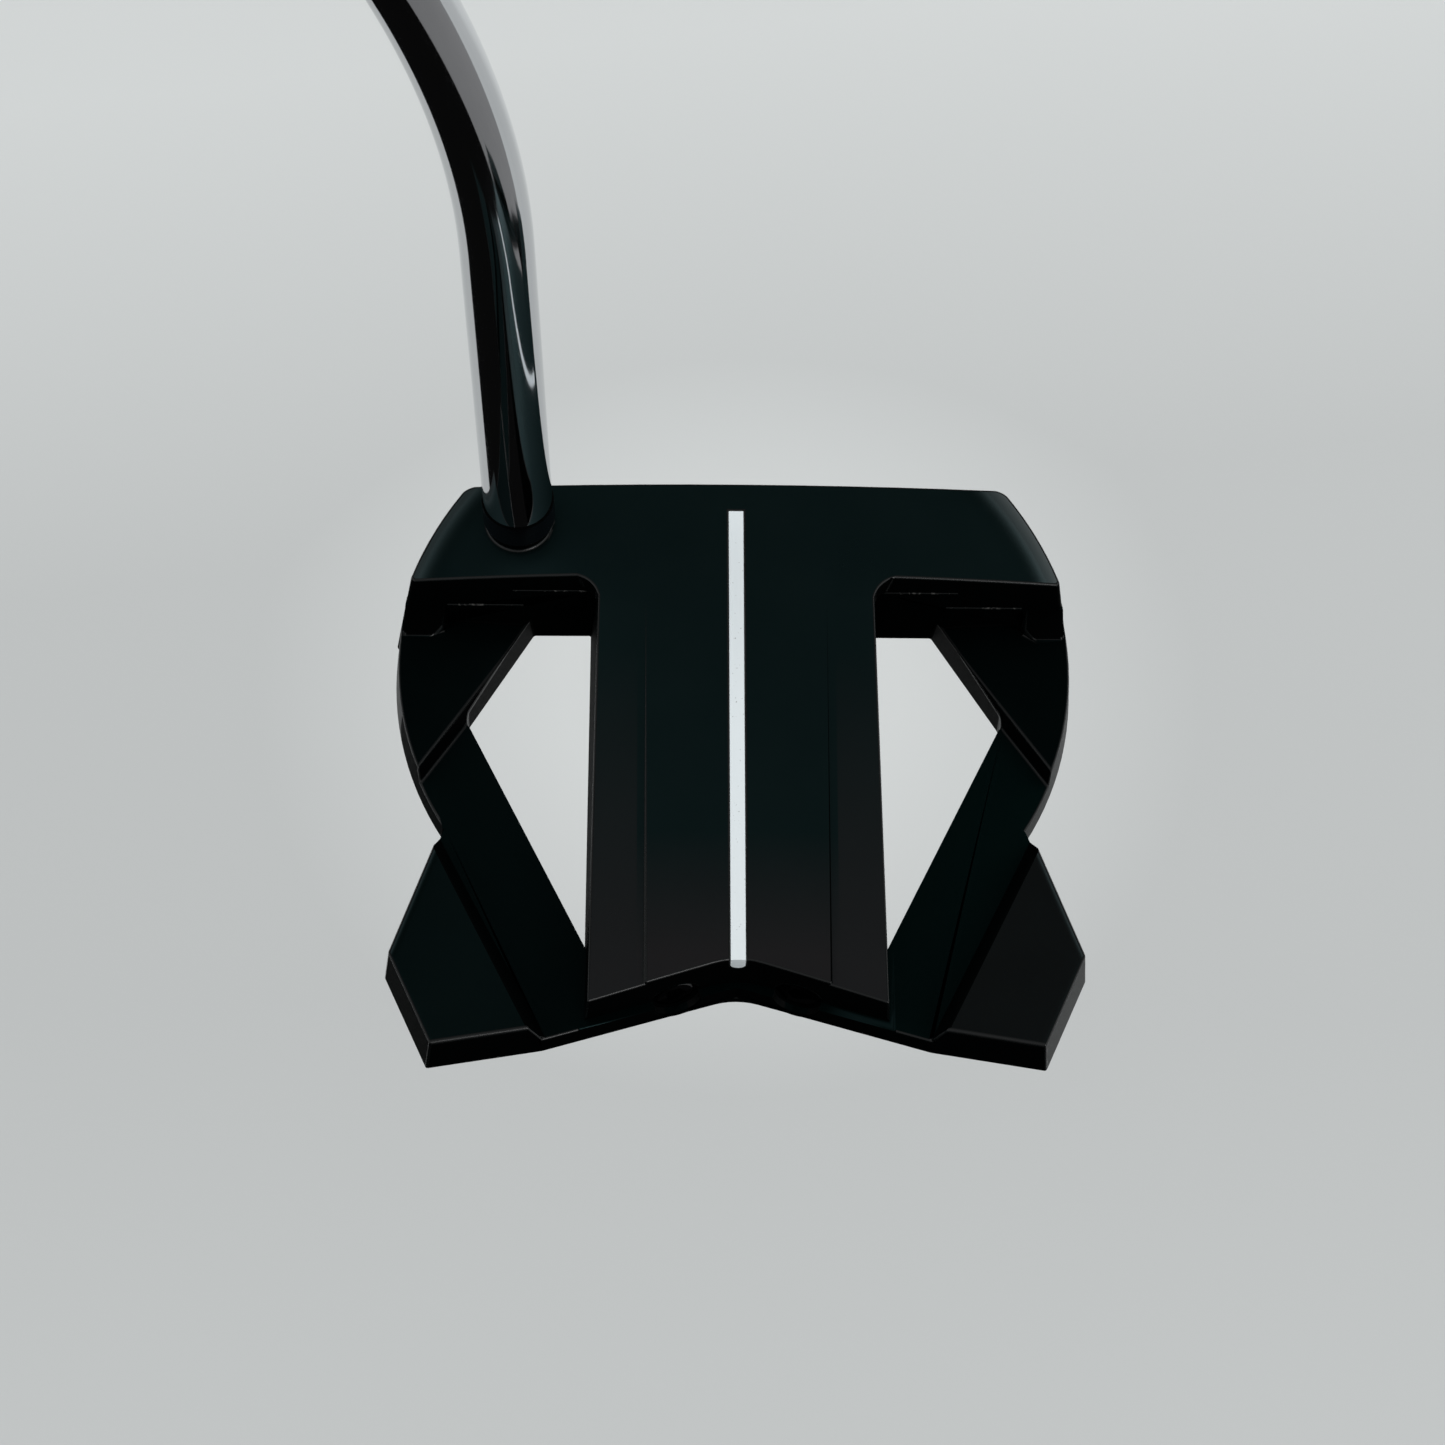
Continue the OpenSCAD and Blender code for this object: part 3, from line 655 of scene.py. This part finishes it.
def stepGap(place):
    # distance outward from the line along which a wing rises from its channel
    start, way = head["stepStart"], head["stepWay"]
    return (abs(place.x) - start[0]) * way[0] - (place.y - start[1]) * way[1]


def measures(place, normal=None):
    found = {"x": place.x, "side": abs(place.x), "y": place.y, "z": place.z, "step": stepGap(place)}
    if normal:
        found.update(nx=normal.x, ny=normal.y, nz=normal.z, turn=abs(normal.x), tilt=abs(normal.z))
    return found


def holds(found, ranges):
    return all(low < found[key] < high for key, (low, high) in ranges.items())


def firstThatHolds(found, lines):
    return next(result for result, ranges in lines if holds(found, ranges))


def splitRear(shell):
    # a cut line where the bright rear edge of the channels ends
    for side in (-1, 1):
        for face in shell.data.polygons:
            face.select = face.center.y < head["rearFrom"] * mm and face.center.z < head["rearTop"] * mm
        makeActive(shell)
        bpy.ops.object.mode_set(mode="EDIT")
        bpy.ops.mesh.bisect(plane_co=(side * head["rearEnd"] * mm, 0, 0), plane_no=(1, 0, 0))
        objectMode()


def weighEdges(shell):
    # every fold gets a round, but not the shallow ones inside the deck
    sides = {}
    for face in shell.data.polygons:
        for key in face.edge_keys:
            sides.setdefault(key, []).append(face.normal)
    weights = shell.data.attributes.new("bevel_weight_edge", "FLOAT", "EDGE")
    for edge in shell.data.edges:
        pair = sides.get(tuple(sorted(edge.vertices)), [])
        if len(pair) == 2 and min(pair[0].z, pair[1].z) <= head["level"]:
            fold = math.degrees(pair[0].angle(pair[1]))
            middle = sum((shell.data.vertices[i].co for i in edge.vertices), Vector()) / 2 / mm
            if fold > head["sharp"]:
                weights.data[edge.index].value = firstThatHolds(measures(middle), edgeRounds)


def makeHead():
    coats = {"satin": satinBlack, "blasted": blastedBlack, "edge": rubbedEdge, "deep": dullShadeBlack,
             "shade": shadeBlack, "wing": wingShadeBlack, "milled": windowShadeBlack}
    places = {coat: number for number, coat in enumerate(coats)}
    shell = mergedCopy("head_body", "headShell")
    standWall(shell)
    splitRear(shell)
    dress(shell, *coats.values())
    for face in shell.data.polygons:
        coat = firstThatHolds(measures(face.center / mm, face.normal), headCoats)
        face.material_index = places[coat]
    weighEdges(shell)
    addModifier(shell, "BEVEL", width=head["edgeRound"] * mm, segments=head["segments"],
                limit_method="WEIGHT", use_clamp_overlap=False, material=places["edge"],
                miter_outer="MITER_SHARP")
    # painted shade: the rounded edges in that table get the dull dark coat
    for face in shell.data.polygons:
        found = measures(face.center / mm)
        if face.material_index == places["edge"] and any(holds(found, ranges) for ranges in paintedShadeEdges):
            face.material_index = places["deep"]
    smoothByAngle(shell, head["smooth"])
    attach(shell, "club")
    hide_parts("head_body")
    addPads()


makeHead()
print("head made")


# the shaft, in millimetres and degrees
shaft = {
    "foot": (-31.5, 23.7, 25.3), "lean": 1.8, "tipRadius": 5.0, "buttRadius": 7.35, "wall": 0.6,
    "lower": 64, "bendRadius": 195, "bendAngle": 18.2, "upper": 90, "taper": 300, "butt": 322,
    "round": 128, "bendSteps": 64, "weld": 0.002,
}


def along(point, degrees, length):
    # the point at that length up a line that leans to the heel
    a = math.radians(degrees)
    return point + Vector((-math.sin(a), 0, math.cos(a))) * length


def extrudeTo(step):
    bpy.ops.mesh.extrude_region_move(TRANSFORM_OT_translate={"value": step})


def makeShaft(size):
    foot = Vector(size["foot"])
    lean, steep = size["lean"], size["lean"] + size["bendAngle"]
    bendStart = along(foot, lean, size["lower"])
    across = Vector((-math.cos(math.radians(lean)), 0, -math.sin(math.radians(lean))))
    hub = bendStart + across * size["bendRadius"]
    deselectAll()
    bpy.ops.mesh.primitive_circle_add(vertices=size["round"], radius=size["tipRadius"] * mm,
                                      location=foot * mm, rotation=(0, -math.radians(lean), 0))
    tube = bpy.context.object
    tube.name = tube.data.name = "shaftTube"
    bpy.ops.object.transform_apply(location=True, rotation=True, scale=True)
    editAll(tube)
    extrudeTo((bendStart - foot) * mm)
    bpy.ops.mesh.spin(steps=size["bendSteps"], angle=math.radians(size["bendAngle"]), center=hub * mm,
                      axis=(0, 1, 0))
    a = math.radians(steep)
    bendEnd = hub + Vector((math.cos(a), 0, math.sin(a))) * size["bendRadius"]
    taperStart = along(bendEnd, steep, size["upper"])
    taperEnd = along(bendEnd, steep, size["upper"] + size["taper"])
    extrudeTo((taperStart - bendEnd) * mm)
    extrudeTo((taperEnd - taperStart) * mm)
    grow = size["buttRadius"] / size["tipRadius"]
    bpy.ops.transform.resize(value=(grow, grow, grow), center_override=taperEnd * mm)
    buttEnd = along(taperEnd, steep, size["butt"])
    extrudeTo((buttEnd - taperEnd) * mm)
    bpy.ops.mesh.select_all(action="SELECT")
    bpy.ops.mesh.remove_doubles(threshold=size["weld"] * mm)
    bpy.ops.mesh.normals_make_consistent(inside=False)
    objectMode()
    addModifier(tube, "SOLIDIFY", thickness=size["wall"] * mm, offset=-1)
    smoothByAngle(tube, 35, weighted=False)
    dress(tube, polishedChrome)
    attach(tube, "club")
    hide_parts("shaft")


makeShaft(shaft)
print("shaft made")


# small pieces of the head, in millimetres and degrees
small = {
    "segments": 3, "sharp": 30, "smooth": 40,
    "collarRound": 0.3, "insertRound": 0.2, "lineRound": 0.15, "weightRound": 0.25,
    # painted shade: above the height on the next line the collar's upper edge gets the dull dark coat and
    # shows no highlight
    "collarShadeHeight": 22.5,    # the collar's upper edge is dull above this height
    # painted highlight: the share on the next line sets where the pale grey rim coat starts
    "rimShare": 0.1,       # the weights' rims shine from this share of their height above the middle
    "wallTurn": 17,        # how far the weights are turned outward
}


def makeBeveled(node, name, finish, body, width, edge=None):
    piece = mergedCopy(node, name)
    dress(piece, finish, edge or finish)
    addModifier(piece, "BEVEL", width=width * mm, segments=small["segments"], limit_method="ANGLE",
                angle_limit=math.radians(small["sharp"]), use_clamp_overlap=True, material=1)
    smoothByAngle(piece, small["smooth"])
    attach(piece, body)
    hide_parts(node)
    return piece


def milledFinish():
    # fine milled lines across the face
    plate = Finish("milledGrey", Metallic=0.8)
    where = plate.place()
    grain = plate.noise(where, 900, 3)
    lines = plate.add("ShaderNodeTexWave", {"bands_direction": "Z"},
                      {"Vector": where, "Scale": 420, "Distortion": 0.1})
    plate.set(Base_Color=plate.mix(lines, (0.018, 0.018, 0.019), (0.045, 0.045, 0.047)),
              Roughness=plate.remap(grain, 0.3, 0.7, 0.30, 0.42),
              Normal=plate.bump(lines, 0.00006, 0.7, plate.bump(grain, 0.00001, 0.3)))
    return plate.material


def turnedFinish(name, centre, wallTurn):
    # rings left by the lathe, about the axis of the screw
    steel = Finish(name, IOR=1.1)
    where = steel.place()
    x, y, z = steel.axes(where)
    c, k = math.cos(math.radians(wallTurn)), math.sin(math.radians(wallTurn))
    across = (x - centre[0] * mm) * c + (y - centre[1] * mm) * k
    up = z - centre[2] * mm
    away = (across * across + up * up).root()
    rings = steel.noise(steel.add("ShaderNodeCombineXYZ", {}, {0: away}), 5200, 2)
    grain = steel.noise(where, 2400, 3, 0.6)
    steel.set(Base_Color=steel.mix(rings, (0.0012, 0.0012, 0.0013), (0.0030, 0.0030, 0.0032)),
              Roughness=steel.remap(grain, 0.3, 0.7, 0.38, 0.50),
              Normal=steel.bump(rings, 0.00003, 0.5))
    return steel.material


def gripFinish():
    # rubber with small pits in rows and a fine leather grain
    rubber = Finish("gripRubber", IOR=1.45)
    where = rubber.place()
    pits = rubber.add("ShaderNodeTexVoronoi", {}, {"Vector": where, "Scale": 330, "Randomness": 0.25})
    grain = rubber.noise(where, 2600, 4, 0.6)
    cloud = rubber.noise(where, 60, 3)
    hollow = rubber.remap(pits, 0.12, 0.34)
    leather = rubber.mix(cloud, (0.017, 0.017, 0.018), (0.024, 0.024, 0.025))
    # painted shade: the pits are darker in colour, as well as sunk by the bump
    rubber.set(Base_Color=rubber.mix(hollow, (0.008, 0.008, 0.0085), leather),
               Roughness=rubber.remap(grain * 0.5 + cloud * 0.5, 0.3, 0.7, 0.62, 0.78),
               Normal=rubber.bump(hollow, 0.0003, 0.7, rubber.bump(grain, 0.00005, 0.4)))
    return rubber.material


def boxOf(node):
    corners = [Vector(corner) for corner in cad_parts[node].bound_box]
    low = Vector([min(c[i] for c in corners) for i in range(3)])
    high = Vector([max(c[i] for c in corners) for i in range(3)])
    return low, high


def makeWeight(node, name, body, wallTurn):
    low, high = boxOf(node)
    centre = (low + high) / 2
    steel = turnedFinish(name + "Steel", centre / mm, wallTurn)
    piece = makeBeveled(node, name, steel, body, small["weightRound"], rimHighlightGrey)
    rimFrom = centre.z + (high.z - low.z) * small["rimShare"]
    # painted highlight: the pale grey coat stays only on the upper rims; rims that face down or sit lower
    # get the turned steel
    for face in piece.data.polygons:
        if face.material_index == 1 and (face.normal.z < 0 or face.center.z < rimFrom):
            face.material_index = 0


def makeCollar():
    piece = makeBeveled("hosel_post", "hoselPost", collarBlack, "club", small["collarRound"])
    piece.data.materials.append(dullShadeBlack)
    # painted shade: the collar's upper edge gets the dull dark coat
    for face in piece.data.polygons:
        if face.material_index == 1 and face.center.z > small["collarShadeHeight"] * mm:
            face.material_index = 2


collarBlack = plainFinish("collarBlack", (0.0007, 0.0008, 0.0014), (0.0014, 0.0015, 0.0024), 0.2, 150,
                          0.000004, ior=1.3)
epoxy = plainFinish("epoxy", (0.3, 0.25, 0.12), (0.38, 0.32, 0.17), 0.35, 300, 0.00002)
gripTape = plainFinish("gripTape", (0.62, 0.57, 0.42), (0.7, 0.65, 0.5), 0.8, 120, 0.00005)
capRubber = plainFinish("capRubber", (0.014, 0.014, 0.015), (0.022, 0.022, 0.023), 0.66, 240, 0.00005)
gripRubber = gripFinish()
# painted highlight: a pale grey coat for the upper rims of the weights
rimHighlightGrey = plainFinish("rimHighlightGrey", (0.035, 0.035, 0.036), (0.06, 0.06, 0.062), 0.35, 300, 0.00001)

makeCollar()
makeBeveled("face_insert", "faceInsert", milledFinish(), "club", small["insertRound"])
makeBeveled("sight_line", "sightLine", whitePaint, "club", small["lineRound"])
makeWeight("weight_heel", "weightHeel", "heel_weight", -small["wallTurn"])
makeWeight("weight_toe", "weightToe", "toe_weight", small["wallTurn"])
for node in ("insert_bond", "post_bond", "shaft_bond"):
    dress(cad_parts[node], epoxy)
dress(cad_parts["grip_tape"], gripTape)
dress(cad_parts["grip"], gripRubber)
dress(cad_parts["grip_cap"], capRubber)
print("small pieces made")
